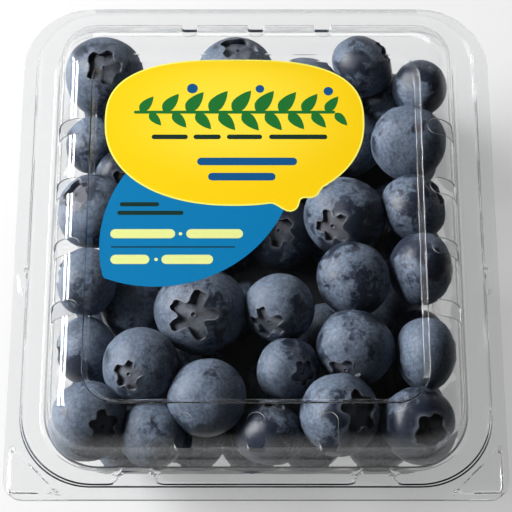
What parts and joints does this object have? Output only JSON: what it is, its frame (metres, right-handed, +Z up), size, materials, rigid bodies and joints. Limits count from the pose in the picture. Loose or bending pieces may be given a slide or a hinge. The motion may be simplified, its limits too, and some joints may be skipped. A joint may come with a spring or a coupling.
{
  "type": "punnet of blueberries",
  "caption": "Clear hinged clamshell punnet with vented lid, folded flange and oval label, filled with loose blueberries.",
  "frame": {"origin": "under the middle of the tray's foot, on the surface it rests on", "axes": "+Z up, +Y towards the fold that joins tray and lid, -Y the side that opens"},
  "size_m": [0.11, 0.1216, 0.039],
  "materials": {
    "tray_plastic": "clear pressed plastic sheet, glossy",
    "lid_plastic": "clear pressed plastic sheet, glossy",
    "label_print": "satin print, yellow oval over a blue field",
    "berry_skin": "dark blue fruit skin under a pale matt bloom"
  },
  "bodies": {
    "base": {"tray": "tray_plastic", "berries": "berry_skin"},
    "cover": {"lid": "lid_plastic", "label": "label_print"}
  },
  "joints": [
    {"name": "fold_hinge", "type": "hinge", "parent": "base", "child": "cover", "pos_m": [0, 0.061, 0.0255], "axis": [-1, 0, 0], "range_deg": [0, 180]}
  ]
}
